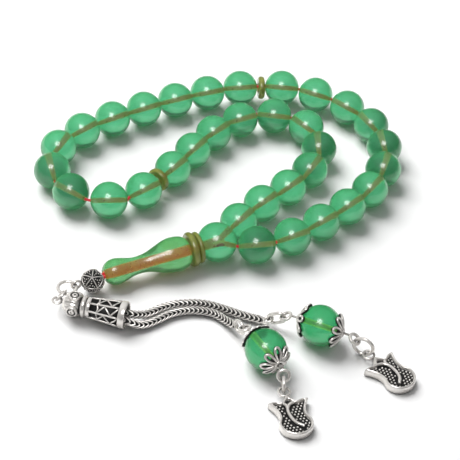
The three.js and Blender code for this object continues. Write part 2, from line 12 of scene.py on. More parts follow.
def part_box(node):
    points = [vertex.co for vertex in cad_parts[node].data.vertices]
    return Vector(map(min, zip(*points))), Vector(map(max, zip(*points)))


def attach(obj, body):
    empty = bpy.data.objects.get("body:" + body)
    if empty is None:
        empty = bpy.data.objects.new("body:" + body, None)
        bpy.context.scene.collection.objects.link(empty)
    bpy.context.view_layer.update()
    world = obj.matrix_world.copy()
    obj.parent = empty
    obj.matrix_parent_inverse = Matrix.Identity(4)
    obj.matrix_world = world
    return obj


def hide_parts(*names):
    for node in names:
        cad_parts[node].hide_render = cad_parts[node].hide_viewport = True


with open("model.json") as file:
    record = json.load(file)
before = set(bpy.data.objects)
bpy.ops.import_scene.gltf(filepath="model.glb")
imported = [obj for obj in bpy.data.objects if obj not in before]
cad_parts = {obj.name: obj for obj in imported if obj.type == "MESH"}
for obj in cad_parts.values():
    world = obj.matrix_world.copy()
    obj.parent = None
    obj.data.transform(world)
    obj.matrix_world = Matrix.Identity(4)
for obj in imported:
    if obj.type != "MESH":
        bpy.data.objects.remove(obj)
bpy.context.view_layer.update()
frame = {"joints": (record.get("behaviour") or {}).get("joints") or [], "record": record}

MM = 0.001
UP = Vector((0, 0, 1))
MIDDLE = Vector((-2.475, -3.028, 0))  # the row frame's origin in the layout that the chain routes are in

# ---- Sizes that repeat part.mjs ----
BEAD_DIAMETER = 8
BEAD_CHANNEL = 0.8  # the bores are drawn narrower than in the CAD, because the resin magnifies them
BEADS = 33
SEPARATOR_DIAMETER = 5.3
SEPARATOR_THICKNESS = 1.6
SEPARATOR_BORE = 2.1
STRING_DIAMETER = 0.6
STRAND_OFFSET = 0.42  # each of the two strands from the middle of the tail's bores
STRING_IN_BALL = 0.3
STRAND_IN_IMAME = 0.8  # the strands straighten this far inside the imame's tip
STRAND_BEND = (1.2, 1.4)  # from the joining bead's centre, where a strand turns from bore to bore
JOINING_BEAD_DIAMETER = 8.4
TAIL_BORE = 2.2
TAIL_HEADING = 208
TAIL_DROP = 0.05
COLLARS = {"collar_ring_1": (6.8, 3.0, 1.1), "collar_ring_2": (7.4, 2.6, 1.5)}  # diameter, bore, thickness
IMAME_START = 6.6
IMAME_LENGTH = 18.5
IMAME_CHANNEL = 1.5
BALL_DIAMETER = 4.9
BALL_HEADING = 222
BALL_GAP = 0.3
BALL_EYE = (0.95, 0.28)  # wire rings: the radius at the middle of the wire, and the wire's radius
BALL_EYE_HEADING = 207
BALL_EYE_DISTANCE = 3.5
TASSEL_HEIGHT = 2.8
TASSEL_RING_1 = (1.85, 0.36)
TASSEL_RING_2 = (1.35, 0.26)
TASSEL_RING_2_HEADING = 249
TASSEL_RING_2_LEAN = 35
CAP_PIN_EYE = (0.9, 0.26)
CAP_GAP = 0.15
CAP_PIN_LOOP = (1.0, 0.22)
CAP_PIN_LOOP_DISTANCE = 8.15
CAP_LENGTH = 13.1
CHAIN_DIAMETER = 1.8
CHAIN_TOP_LOOP = (0.65, 0.2)
CHAIN_TOP_SIDE = 0.34
CHAIN_SIDE = 0.92  # each chain from the cap's axis
CHAIN_SPREAD = 0.1  # how much further from the axis each chain is at the cap's mouth
CHAIN_SAG = 0.4  # how far it has fallen there
SOLDER = 0.4  # how far a soldered loop sinks into the piece it is on
LINK_PLAY = 0.1
CHARM_BEAD_DIAMETER = 8.3
CHARM_BEAD_CHANNEL = 0.8
PIN_EYE = (1.1, 0.33)
PIN_EYE_DISTANCE = 6.3
PIN_WIRE_RADIUS = 0.24
OVAL_LINK = (1.8, 0.34)
OVAL_STRETCH = 0.65
PETALS = 8
PETAL_CAP_GAP = 0.15
TULIP_THICKNESS = 1.8
TULIP_LOOP = (1.1, 0.26)
TULIP_LOOP_HEIGHT = 1.2
TULIP_MOUNT = 7.5  # from the middle of a tulip's loop to the mount on its back
OFF_TABLE = 0.05

CHAIN_A_ROUTE = [
    (-16, -29.5, 1.3), (-14.2, -28.2, 0.95), (-12.4, -26.8, 0.95), (-10, -25.5, 0.95),
    (-7.3, -24.7, 0.95), (-4.5, -24.4, 0.95), (-1.7, -24.8, 0.95), (1.2, -25.7, 0.95), (4.5, -26.8, 0.95),
]
CHAIN_B_ROUTE = [
    (-16.4, -32.4, 1.3), (-14.7, -31.6, 0.95), (-12.8, -30.2, 0.95), (-10.4, -28.2, 0.95),
    (-7.6, -26.9, 0.95), (-4.6, -26.5, 0.95), (-1.6, -27.0, 0.95), (0.7, -28.8, 1.2),
]
CHARMS = {
    "a": dict(heading=-19, back=167, eye=-20, tulip=-43, chain_loop=(1.0, 0.34), chain_height=0.95,
              ring=(2.0, 0.36), flip=1),
    "b": dict(heading=-54, back=133, eye=-85, tulip=-72, chain_loop=(1.4, 0.34), chain_height=2.1,
              ring=(1.4, 0.36), flip=-1),
}

# ---- Camera ----
CAMERA_ELEVATION = 41
CAMERA_ROLL = 5.2
CAMERA_DISTANCE = 339.1
CAMERA_LENS = 124.1


def heading(degrees):
    turn = math.radians(degrees)
    return Vector((math.cos(turn), math.sin(turn), 0))


def falling(degrees, drop, length):
    """The direction with this heading that falls by a drop along a length."""
    slope = drop / length
    direction = heading(degrees) * math.sqrt(1 - slope ** 2)
    direction.z = -slope
    return direction


def basis(along, normal=UP):
    """The frame whose X axis lies along a direction, and whose Z axis is as near as it can be to normal."""
    x = along.normalized()
    z = (normal - x * normal.dot(x)).normalized()
    return Matrix((x, z.cross(x), z)).transposed().to_4x4()


def placed(centre, along, normal=UP):
    return Matrix.Translation(centre) @ basis(along, normal)


def linked(a, b):
    """How far apart the middles of two linked rings are when they are pulled tight."""
    return a[0] + b[0] - a[1] - b[1] - LINK_PLAY


def middle_of(node):
    low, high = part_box(node)
    return (Vector(low) + Vector(high)) / 2 / MM


joints = {joint["name"]: joint for joint in frame["joints"]}


def spin_axis(joint):
    """The centre and direction of the bore that a piece spins about."""
    return Vector(joints[joint]["pos_m"]) / MM, Vector(joints[joint]["axis"]).normalized()


elevation = math.radians(CAMERA_ELEVATION)
to_camera = Vector((0, -math.cos(elevation), math.sin(elevation)))
camera_turn = basis(Vector((1, 0, 0)), to_camera) @ Matrix.Rotation(math.radians(CAMERA_ROLL), 4, "Z")
camera = bpy.data.objects.new("camera", bpy.data.cameras.new("camera"))
camera.data.lens = CAMERA_LENS
camera.matrix_world = Matrix.Translation((to_camera * CAMERA_DISTANCE - MIDDLE) * MM) @ camera_turn
bpy.context.collection.objects.link(camera)
bpy.context.scene.camera = camera

# ---- Materials ----

CHANNEL_ROUGHNESS = 0.25
CREVICE_SHADE_POWER = 1.15  # how fast the painted shade in a crevice darkens
SILVER_SHADE_REACH = 0.0009  # metres; the silver is painted darker, as shade, where other surfaces are closer than this


class Nodes:
    """A material's node tree, with short calls for the nodes this scene uses."""

    def __init__(self, name, **sockets):
        self.material = bpy.data.materials.new(name)
        self.material.use_nodes = True
        self.tree = self.material.node_tree
        self.shader = self.tree.nodes["Principled BSDF"]
        for socket, value in sockets.items():
            self.shader.inputs[socket.replace("_", " ")].default_value = value
        self.where = self.tree.nodes.new("ShaderNodeTexCoord").outputs["Object"]

    def noise(self, scale, detail=2.0):
        node = self.tree.nodes.new("ShaderNodeTexNoise")
        node.inputs["Scale"].default_value = scale
        node.inputs["Detail"].default_value = detail
        self.tree.links.new(self.where, node.inputs["Vector"])
        return node.outputs["Fac"]

    def colours(self, source, stops):
        node = self.tree.nodes.new("ShaderNodeValToRGB")
        node.color_ramp.elements[0].position, node.color_ramp.elements[0].color = stops[0]
        node.color_ramp.elements[1].position, node.color_ramp.elements[1].color = stops[-1]
        for place, colour in stops[1:-1]:
            node.color_ramp.elements.new(place).color = colour
        self.tree.links.new(source, node.inputs["Fac"])
        return node.outputs["Color"]

    def ramp(self, source, stops, socket):
        self.tree.links.new(self.colours(source, stops), self.shader.inputs[socket])

    def edge_mix(self, source, rim, blend, socket):
        """Mixes a colour into another one towards the edge of the surface as it is seen."""
        edge = self.tree.nodes.new("ShaderNodeLayerWeight")
        edge.inputs["Blend"].default_value = blend
        mix = self.tree.nodes.new("ShaderNodeMixRGB")
        mix.inputs["Color2"].default_value = rim
        self.tree.links.new(edge.outputs["Facing"], mix.inputs["Fac"])
        self.tree.links.new(source, mix.inputs["Color1"])
        self.tree.links.new(mix.outputs["Color"], self.shader.inputs[socket])

    def crevice_shade(self, source, dark, reach, socket):
        """Paints shade: mixes a colour into a darker one where other surfaces are within a reach in metres.
        """
        near = self.tree.nodes.new("ShaderNodeAmbientOcclusion")
        near.samples = 8
        near.inputs["Distance"].default_value = reach
        steep = self.tree.nodes.new("ShaderNodeMath")
        steep.operation = "POWER"
        steep.inputs[1].default_value = CREVICE_SHADE_POWER
        mix = self.tree.nodes.new("ShaderNodeMixRGB")
        mix.inputs["Color1"].default_value = dark
        self.tree.links.new(near.outputs["AO"], steep.inputs[0])
        self.tree.links.new(steep.outputs["Value"], mix.inputs["Fac"])
        self.tree.links.new(source, mix.inputs["Color2"])
        self.tree.links.new(mix.outputs["Color"], self.shader.inputs[socket])

    def bump(self, source, strength, depth):
        node = self.tree.nodes.new("ShaderNodeBump")
        node.inputs["Strength"].default_value = strength
        node.inputs["Distance"].default_value = depth
        self.tree.links.new(source, node.inputs["Height"])
        self.tree.links.new(node.outputs["Normal"], self.shader.inputs["Normal"])


def grey(value):
    return (value, value, value, 1)


def resin(name, rim, dark, light, transmission, roughness):
    """Polished, slightly cloudy resin. Its colour deepens towards its rim, and it glows a little, in place of
    the light that real resin scatters inside."""
    nodes = Nodes(
        name, IOR=1.47, Transmission_Weight=transmission, Coat_Weight=0.6, Coat_Roughness=0.42,
        Emission_Color=light, Emission_Strength=0.04,
    )
    cloud = nodes.colours(nodes.noise(260, 3), [(0.35, dark), (0.65, light)])
    nodes.edge_mix(cloud, rim, 0.35, "Base Color")
    nodes.ramp(nodes.noise(1500), [(0.4, grey(roughness)), (0.7, grey(roughness + 0.05))], "Roughness")
    return nodes.material


def channel(name, dark, light, glow):
    """The wall of a bore: it tints what is seen through it, bends no light, and glows a little."""
    nodes = Nodes(name, IOR=1.01, Transmission_Weight=0.7, Emission_Strength=glow)
    nodes.ramp(nodes.noise(700), [(0.3, dark), (0.7, light)], "Emission Color")
    nodes.ramp(nodes.noise(900), [(0.3, dark), (0.7, light)], "Base Color")
    stops = [(0.3, grey(CHANNEL_ROUGHNESS)), (0.7, grey(CHANNEL_ROUGHNESS + 0.1))]
    nodes.ramp(nodes.noise(1500), stops, "Roughness")
    return nodes.material


green_resin = resin(
    "green_resin", (0.03, 0.36, 0.07, 1), (0.09, 0.49, 0.23, 1), (0.13, 0.58, 0.31, 1), 0.76, 0.13,
)
charm_resin = resin(
    "charm_resin", (0.01, 0.28, 0.05, 1), (0.05, 0.44, 0.17, 1), (0.08, 0.54, 0.24, 1), 0.76, 0.13,
)
imame_resin = resin(
    "imame_resin", (0.05, 0.34, 0.05, 1), (0.14, 0.46, 0.14, 1), (0.16, 0.54, 0.24, 1), 0.76, 0.13,
)
olive_resin = resin(
    "olive_resin", (0.12, 0.14, 0.02, 1), (0.30, 0.33, 0.06, 1), (0.46, 0.50, 0.12, 1), 0.5, 0.12,
)
bead_channel = channel("bead_channel", (0.46, 0.30, 0.08, 1), (0.62, 0.42, 0.14, 1), 0.42)
imame_channel = channel("imame_channel", (0.86, 0.14, 0.03, 1), (0.96, 0.32, 0.06, 1), 0.5)
charm_channel = channel("charm_channel", (0.42, 0.50, 0.10, 1), (0.62, 0.66, 0.18, 1), 0.5)

silver_nodes = Nodes("silver_polished", Metallic=0.48)
silver_tint = silver_nodes.colours(silver_nodes.noise(700, 4), [
    (0.3, (0.82, 0.78, 0.74, 1)), (0.7, (0.96, 0.93, 0.89, 1)),
])
# Painted shade: the silver darkens in each crevice and where other parts come close.
silver_nodes.crevice_shade(silver_tint, (0.012, 0.011, 0.01, 1), SILVER_SHADE_REACH, "Base Color")
silver_nodes.ramp(silver_nodes.noise(2400), [(0.3, grey(0.16)), (0.8, grey(0.28))], "Roughness")
silver_nodes.bump(silver_nodes.noise(900), 0.08, 0.00002)
silver = silver_nodes.material

# Blackened silver: the real oxide of the ball, the tulips' recesses, the cap's grooves and the bosses, and
# also painted shade: the chains' cores, the sheet inside the skirt and the dark wires under the petals.
dark_nodes = Nodes("silver_oxide_and_painted_shade", Metallic=0.2)
dark_nodes.ramp(dark_nodes.noise(1500, 4), [(0.3, grey(0.004)), (0.8, grey(0.02))], "Base Color")
dark_nodes.ramp(dark_nodes.noise(2600), [(0.3, grey(0.5)), (0.8, grey(0.7))], "Roughness")
oxide_and_painted_shade = dark_nodes.material

# The string glows a little too, so that it can be seen inside the resin.
string_nodes = Nodes(
    "red_string", Sheen_Weight=0.4, Emission_Color=(0.8, 0.05, 0.03, 1), Emission_Strength=0.28,
)
string_reds = [(0.3, (0.42, 0.0, 0.02, 1)), (0.7, (0.75, 0.01, 0.06, 1))]
string_nodes.ramp(string_nodes.noise(4000, 3), string_reds, "Base Color")
string_nodes.ramp(string_nodes.noise(3000), [(0.3, grey(0.55)), (0.7, grey(0.8))], "Roughness")
string_nodes.bump(string_nodes.noise(6000), 0.6, 0.00005)
red_string = string_nodes.material

# ---- Mesh helpers: every surface is a grid of points, given in millimetres ----

POLE = 0.02  # radians; where a ball's rows stop short of its poles


class Build:
    """Collects grids of points into one object."""

    def __init__(self):
        self.mesh = bmesh.new()

    def grid(self, rows, close_rows=False, slot=0, matrix=Matrix.Identity(4)):
        """Faces between rows of points, each of which goes round and closes."""
        made = [[self.mesh.verts.new(matrix @ Vector(point) * MM) for point in row] for row in rows]
        count = len(made) if close_rows else len(made) - 1
        for i in range(count):
            a, b = made[i], made[(i + 1) % len(made)]
            for j in range(len(a)):
                k = (j + 1) % len(a)
                face = self.mesh.faces.new((a[j], a[k], b[k], b[j]))
                face.material_index = slot
                face.smooth = True
        return made

    def cap(self, row, slot=0):
        face = self.mesh.faces.new(row)
        face.material_index = slot

    def lathe(self, profile, sides=40, slots=None, closed=True, matrix=Matrix.Identity(4)):
        """Turns [(distance along X, radius)] about X. slots gives the materials of its numbered bands."""
        rows = [[(x, r * math.cos(2 * math.pi * j / sides), r * math.sin(2 * math.pi * j / sides))
                 for j in range(sides)] for x, r in profile]
        start = len(self.mesh.faces)
        self.grid(rows, close_rows=closed, matrix=matrix)
        if slots:
            self.mesh.faces.ensure_lookup_table()
            for band, slot in slots.items():
                for j in range(sides):
                    self.mesh.faces[start + band * sides + j].material_index = slot

    def ring(self, size, matrix=Matrix.Identity(4), stretch=0.0, slot=0, around=12, along=32):
        """A wire ring in the XY plane, whose halves may be drawn apart along X."""
        radius, wire = size[0] - stretch, size[1]
        rows = []
        for i in range(along):
            turn = 2 * math.pi * (i + 0.5) / along
            shift = stretch * (1 if math.cos(turn) > 0 else -1)
            rows.append([((radius + wire * math.cos(v)) * math.cos(turn) + shift,
                          (radius + wire * math.cos(v)) * math.sin(turn), wire * math.sin(v))
                         for v in (2 * math.pi * j / around for j in range(around))])
        self.grid(rows, close_rows=True, slot=slot, matrix=matrix)

    def tube(self, points, radius, sides=8, closed=False, slot=0, matrix=Matrix.Identity(4), normal=UP):
        """A tube along points; radius is one number or one for each point."""
        points = [Vector(point) for point in points]
        radii = radius if isinstance(radius, list) else [radius] * len(points)
        rows = []
        last = len(points) - 1
        for i, point in enumerate(points):
            before = points[i - 1] if i or closed else point
            after = points[(i + 1) % len(points)] if i < last or closed else point
            along = (after - before).normalized()
            side = normal.cross(along)
            if side.length < 1e-3:
                side = along.orthogonal()
            side.normalize()
            up = along.cross(side)
            rows.append([point + radii[i] * (side * math.cos(v) + up * math.sin(v))
                         for v in (2 * math.pi * j / sides for j in range(sides))])
        made = self.grid(rows, close_rows=closed, slot=slot, matrix=matrix)
        if not closed:
            self.cap(made[0], slot)
            self.cap(list(reversed(made[-1])), slot)

    def ball(self, centre, radius, rings=10, sides=16):
        """A ball with a tiny flat face at each pole."""
        rows = []
        for i in range(rings + 1):
            v = math.pi * (i + POLE * (rings / 2 - i) / rings) / rings
            v = min(max(v, POLE), math.pi - POLE)
            rows.append([(centre[0] + radius * math.sin(v) * math.cos(u),
                          centre[1] + radius * math.sin(v) * math.sin(u),
                          centre[2] + radius * math.cos(v))
                         for u in (2 * math.pi * j / sides for j in range(sides))])
        made = self.grid(rows)
        self.cap(list(reversed(made[0])))
        self.cap(made[-1])

    def data(self, name, materials):
        """Ends the building, and gives the mesh."""
        bmesh.ops.recalc_face_normals(self.mesh, faces=self.mesh.faces)
        data = bpy.data.meshes.new(name)
        self.mesh.to_mesh(data)
        self.mesh.free()
        for material in materials:
            data.materials.append(material)
        return data

    def finish(self, name, materials, body, nodes=(), matrix=Matrix.Identity(4)):
        return piece(name, self.data(name, materials), body, nodes, matrix)


def piece(name, data, body, nodes=(), matrix=Matrix.Identity(4)):
    """An object that rides on a body, and takes the place of the CAD nodes named."""
    obj = bpy.data.objects.new(name, data)
    bpy.context.collection.objects.link(obj)
    location, turn, _ = matrix.decompose()
    obj.matrix_world = Matrix.Translation(location * MM) @ turn.to_matrix().to_4x4()
    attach(obj, body)
    if nodes:
        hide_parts(*nodes)
    return obj


def arc(radius, first, last, steps):
    """Points [(x, radius)] of an arc about the middle, by the angle from the -X pole in degrees."""
    angles = [math.radians(first + (last - first) * i / steps) for i in range(steps + 1)]
    return [(-radius * math.cos(v), radius * math.sin(v)) for v in angles]


def smooth_line(points, per_span=6):
    """A curve through points, by uniform Catmull-Rom spans."""
    points = [Vector(point) for point in points]
    ends = [points[0] * 2 - points[1], *points, points[-1] * 2 - points[-2]]
    line = []
    for a, b, c, d in zip(ends, ends[1:], ends[2:], ends[3:]):
        for i in range(per_span):
            t = i / per_span
            line.append(0.5 * (2 * b + (c - a) * t + (2 * a - 5 * b + 4 * c - d) * t ** 2
                               + (3 * b - a - 3 * c + d) * t ** 3))
    return [*line, points[-1]]


def evenly(line, step):
    """The points a step apart along a line, and the direction at each."""
    spots = []
    travelled = 0.0
    wanted = 0.0
    for a, b in zip(line, line[1:]):
        span = (b - a).length
        while span and wanted <= travelled + span:
            spots.append((a.lerp(b, (wanted - travelled) / span), (b - a).normalized()))
            wanted += step
        travelled += span
    return spots


# ---- Places of the main pieces ----

bead_names = [f"bead_{i:02d}" for i in range(1, BEADS + 1)]
beads = [spin_axis(f"spin_{name}") for name in bead_names]
joining_bead = middle_of("joining_bead")
tail_axis = heading(TAIL_HEADING)
tail_axis.z = -TAIL_DROP
tail_axis.normalize()
tail_side = UP.cross(tail_axis).normalized()
imame_start = joining_bead + tail_axis * IMAME_START
imame_tip = imame_start + tail_axis * IMAME_LENGTH
ball_run = heading(BALL_HEADING)
ball_centre = imame_tip + ball_run * (BALL_DIAMETER / 2 + BALL_GAP)
ball_centre.z = TASSEL_HEIGHT
bore_runs = [
    (beads[0][0] - beads[0][1] * BEAD_DIAMETER / 2 - joining_bead).normalized(),
    (beads[-1][0] + beads[-1][1] * BEAD_DIAMETER / 2 - joining_bead).normalized(),
]

# ---- String ----


def tail_points(side):
    """One strand from the ball, through the imame, to the joining bead."""
    shift = tail_side * side * STRAND_OFFSET
    ball_side = UP.cross(ball_run) * side * STRAND_OFFSET
    return [
        ball_centre + ball_run * (STRING_IN_BALL - BALL_DIAMETER / 2) + ball_side,
        imame_tip - tail_axis * STRAND_IN_IMAME + shift,
        imame_tip - tail_axis * IMAME_LENGTH / 2 + shift,
        joining_bead + tail_axis * JOINING_BEAD_DIAMETER / 2 + shift,
        joining_bead + tail_axis * STRAND_BEND[0] + shift,
    ]


string_line = [*tail_points(1), joining_bead + bore_runs[0] * STRAND_BEND[1]]
for centre, along in beads:
    string_line.append(centre - along * BEAD_DIAMETER / 2)
    string_line.append(centre + along * BEAD_DIAMETER / 2)
string_line += [joining_bead + bore_runs[1] * STRAND_BEND[1], *reversed(tail_points(-1))]

string_build = Build()
string_build.tube(string_line, STRING_DIAMETER / 2, sides=10)
string = string_build.finish("string_visual", [red_string], "strung_core", ["string"])

# ---- Beads ----

BORE_EDGE = 0.12  # the rounding of a bore's edge


def bead_mesh(name, diameter, bore, materials):
    """A polished bead with a straight bore whose edges are rounded over."""
    edge = math.degrees(math.asin((bore / 2 + BORE_EDGE) / (diameter / 2)))
    profile = [*arc(diameter / 2, edge, 180 - edge, 28)]
    x = -profile[0][0]
    lip = [(x - BORE_EDGE / 6, bore / 2 + BORE_EDGE / 3), (x - BORE_EDGE, bore / 2)]
    profile += lip + [(-px, r) for px, r in reversed(lip)]
    build = Build()
    build.lathe(profile, sides=48, slots={len(profile) - 3: 1})
    return build.data(name, materials)


loop_bead = bead_mesh("loop_bead", BEAD_DIAMETER, BEAD_CHANNEL, [green_resin, bead_channel])
for name, (centre, along) in zip(bead_names, beads):
    piece(f"{name}_visual", loop_bead, name, [name], placed(centre, along))

charm_bead = bead_mesh("charm_bead", CHARM_BEAD_DIAMETER, CHARM_BEAD_CHANNEL, [charm_resin, charm_channel])
for letter in CHARMS:
    name = f"charm_bead_{letter}"
    centre, along = spin_axis(f"{name}_spin")
    piece(f"{name}_visual", charm_bead, name, [name], placed(centre, along))

# The joining bead: a ball cut by three bores, each from a little past its middle.
DRILL_START = -1.0
DRILL_SIDES = 32
joining_build = Build()
joining_build.ball((0, 0, 0), JOINING_BEAD_DIAMETER / 2, rings=40, sides=64)
joining = joining_build.finish(
    "joining_bead_visual", [green_resin, bead_channel], "strung_core", ["joining_bead"],
    placed(joining_bead, tail_axis),
)
for run, bore in [(tail_axis, IMAME_CHANNEL), (bore_runs[0], BEAD_CHANNEL), (bore_runs[1], BEAD_CHANNEL)]:
    drill_build = Build()
    turns = [2 * math.pi * j / DRILL_SIDES for j in range(DRILL_SIDES)]
    rows = [[(x, bore / 2 * math.cos(v), bore / 2 * math.sin(v)) for v in turns]
            for x in (DRILL_START, JOINING_BEAD_DIAMETER)]
    for end in drill_build.grid(rows):
        drill_build.cap(end)
    drill = bpy.data.objects.new("drill", drill_build.data("drill", [bead_channel]))
    bpy.context.collection.objects.link(drill)
    drill.matrix_world = Matrix.Translation(joining_bead * MM) @ basis(run)
    bpy.context.view_layer.update()
    cut = joining.modifiers.new("cut", "BOOLEAN")
    cut.operation = "DIFFERENCE"
    cut.solver = "EXACT"
    cut.material_mode = "TRANSFER"
    cut.object = drill
    evaluated = joining.evaluated_get(bpy.context.evaluated_depsgraph_get())
    joining.data = bpy.data.meshes.new_from_object(evaluated)
    joining.modifiers.clear()
    bpy.data.objects.remove(drill)
joining.data.shade_smooth()
joining.data.set_sharp_from_angle(angle=math.radians(40))

# ---- Separators, collars and imame ----


def ring_bead(name, diameter, bore, thickness):
    """A turned ring with a groove on each face and a rounded rim."""
    centre, along = spin_axis(f"spin_{name}")
    outer, inner, half = diameter / 2, bore / 2, thickness / 2
    face = [(-half * 0.86, inner), (-half, inner + 0.15), (-half * 0.72, inner + (outer - inner) * 0.45),
            (-half * 0.95, outer - 0.35), (-half * 0.62, outer - 0.08), (-half * 0.2, outer)]
    profile = face + [(-x, r) for x, r in reversed(face)]
    build = Build()
    build.lathe(profile)
    made = build.finish(f"{name}_visual", [olive_resin], name, [name], placed(centre, along))
    rounding = made.modifiers.new("round", "SUBSURF")
    rounding.levels = rounding.render_levels = 1


for number in (1, 2):
    ring_bead(f"separator_{number}", SEPARATOR_DIAMETER, SEPARATOR_BORE, SEPARATOR_THICKNESS)
for name, (diameter, bore, thickness) in COLLARS.items():
    ring_bead(name, diameter, bore, thickness)

# Each point is a share of the imame's length, and the radius there.
IMAME_OUTLINE = [
    (0, 2.6), (0.04, 3.2), (0.1, 3.55), (0.18, 3.65), (0.26, 3.45), (0.36, 2.85), (0.47, 2.15),
    (0.57, 1.85), (0.67, 1.95), (0.77, 2.45), (0.85, 2.72), (0.92, 2.55), (0.97, 2.0), (1, 1.3),
]
IMAME_DISH = 0.08  # how far its ends sink towards the bore
outline = smooth_line([(share * IMAME_LENGTH, radius, 0) for share, radius in IMAME_OUTLINE], 4)
imame_profile = [(point.x, point.y) for point in outline]
imame_profile += [(x, IMAME_CHANNEL / 2) for x in (IMAME_LENGTH - IMAME_DISH, IMAME_DISH)]
imame_build = Build()
imame_build.lathe(imame_profile, sides=56, slots={len(imame_profile) - 2: 1})
imame_build.finish("imame_visual", [imame_resin, imame_channel], "imame", ["imame"],
                   placed(imame_start, tail_axis))

# ---- Metal ball, rings and cap ----


def wire_ring(name, body, size, matrix, stretch=0.0, nodes=()):
    build = Build()
    build.ring(size, stretch=stretch)
    return build.finish(name, [silver], body, nodes, matrix)


def on_ball(direction, radius):
    return direction.normalized() * radius


# The ball is dark, with a raised web of wires that meet in stars, and silver grains in each of its fields.
# The web is the edges of an icosahedron, whose corners lie on three golden rectangles.
BALL_RELIEF = 0.14  # how deep the dark surface lies
WEB_DEPTH = 0.1
WEB_WIRE_RADIUS = 0.11
WEB_STEPS = 8
WEB_MOUTH = 0.86  # the web stops, and the grains stop, at these cosines from the middle of the mouth
GRAIN_MOUTH = 0.78
EDGE_REACH = 1.1  # corners of the icosahedron nearer than this share an edge
BALL_GRAINS = ((0.22, 0.1524), (0.5, 0.13))  # share of the way from a field's middle to its corner, radius
BALL_GRAIN_DEPTH = 0.12
BALL_BORE_END = -0.4  # from the ball's middle
AXIS_GAP = 0.05  # a closed profile stays this far from its axis
ball_radius = BALL_DIAMETER / 2
shell_radius = ball_radius - BALL_RELIEF
mouth_angle = math.degrees(math.asin(TAIL_BORE / 2 / shell_radius))
shell = arc(shell_radius, mouth_angle, 178, 24)
ball_build = Build()
shell_profile = [(BALL_BORE_END, TAIL_BORE / 2), *shell, (BALL_BORE_END, AXIS_GAP)]
ball_build.lathe(shell_profile, matrix=basis(ball_run))
for face in ball_build.mesh.faces:
    face.material_index = 1
golden = (1 + math.sqrt(5)) / 2
corners = [Vector(v).normalized() for s in (-1, 1) for t in (-golden, golden)
           for v in ((0, s, t), (s, t, 0), (t, 0, s))]


def share_an_edge(*ends):
    return all((a - b).length < EDGE_REACH for a, b in combinations(ends, 2))


for a, b in combinations(corners, 2):
    if not share_an_edge(a, b):
        continue
    line = [on_ball(a.lerp(b, i / WEB_STEPS), ball_radius - WEB_DEPTH) for i in range(WEB_STEPS + 1)]
    line = [point for point in line if -point.normalized().dot(ball_run) < WEB_MOUTH]
    if len(line) > 2:
        ball_build.tube(line, WEB_WIRE_RADIUS, sides=6)
for field in combinations(corners, 3):
    middle = sum(field, Vector()).normalized()
    if not share_an_edge(*field) or -middle.dot(ball_run) > GRAIN_MOUTH:
        continue
    for corner in field:
        for share, radius in BALL_GRAINS:
            grain = on_ball(middle.lerp(corner, share), ball_radius - BALL_GRAIN_DEPTH)
            ball_build.ball(grain, radius, rings=5, sides=8)
eye_run = heading(BALL_EYE_HEADING)
ball_build.ring(BALL_EYE, matrix=Matrix.Translation(eye_run * BALL_EYE_DISTANCE)
                @ basis(eye_run, heading(BALL_EYE_HEADING + 90)))
ball_build.finish("metal_ball_visual", [silver, oxide_and_painted_shade], "metal_ball", ["metal_ball"],
                  Matrix.Translation(ball_centre))

wire_ring("tassel_ring_1_visual", "tassel_ring_1", TASSEL_RING_1,
          placed(middle_of("tassel_ring_1"), Vector((1, 0, 0))), nodes=["tassel_ring_1"])
ring_2_run = heading(TASSEL_RING_2_HEADING)
ring_2_normal = Matrix.Rotation(-math.radians(TASSEL_RING_2_LEAN), 3, ring_2_run) @ UP.cross(ring_2_run)
wire_ring("tassel_ring_2_visual", "tassel_ring_2", TASSEL_RING_2,
          placed(middle_of("tassel_ring_2"), ring_2_run, ring_2_normal), nodes=["tassel_ring_2"])

cap_tip, cap_run = spin_axis("cap_spin")
cap_side = UP.cross(cap_run)
pin_eye_centre = cap_tip - cap_run * (CAP_PIN_EYE[0] + CAP_PIN_EYE[1] + CAP_GAP)
pin_build = Build()
pin_build.ring(CAP_PIN_EYE)
pin_ends = [(CAP_PIN_EYE[0], 0, 0), (CAP_PIN_LOOP_DISTANCE - CAP_PIN_LOOP[0], 0, 0)]
pin_build.tube(pin_ends, CAP_PIN_LOOP[1], sides=12)
pin_build.ring(CAP_PIN_LOOP, matrix=Matrix.Translation((CAP_PIN_LOOP_DISTANCE, 0, 0)))
pin_build.finish("cap_pin_visual", [silver], "cap_pin", ["cap_pin"],
                 placed(pin_eye_centre, cap_run))

# The cap's outlines: points (distance from its tip, radius).
HEAD = [(0.0, 0.95), (0.3, 1.45), (1.0, 1.95), (2.2, 2.15), (3.1, 1.95), (3.7, 1.6), (3.85, 1.5)]
TIP = [(0.0, 0.6), (0.02, 0.95), (0.5, 0.95), (0.5, 0.6)]
WAIST = [
    (3.8, 1.5), (3.95, 2.05), (4.2, 2.2), (4.5, 2.2), (4.75, 2.05), (4.85, 1.85), (4.85, 1.4), (3.8, 1.4),
]
SKIRT_TOP = [(4.85, 1.85), (5.0, 2.0), (5.7, 2.08), (5.8, 2.0), (5.8, 1.8), (4.85, 1.7)]
RIM = [(11.7, 2.35), (11.75, 2.62), (11.9, 2.76), (12.9, 2.8), (13.1, 2.72), (13.1, 2.5), (12.9, 2.45)]
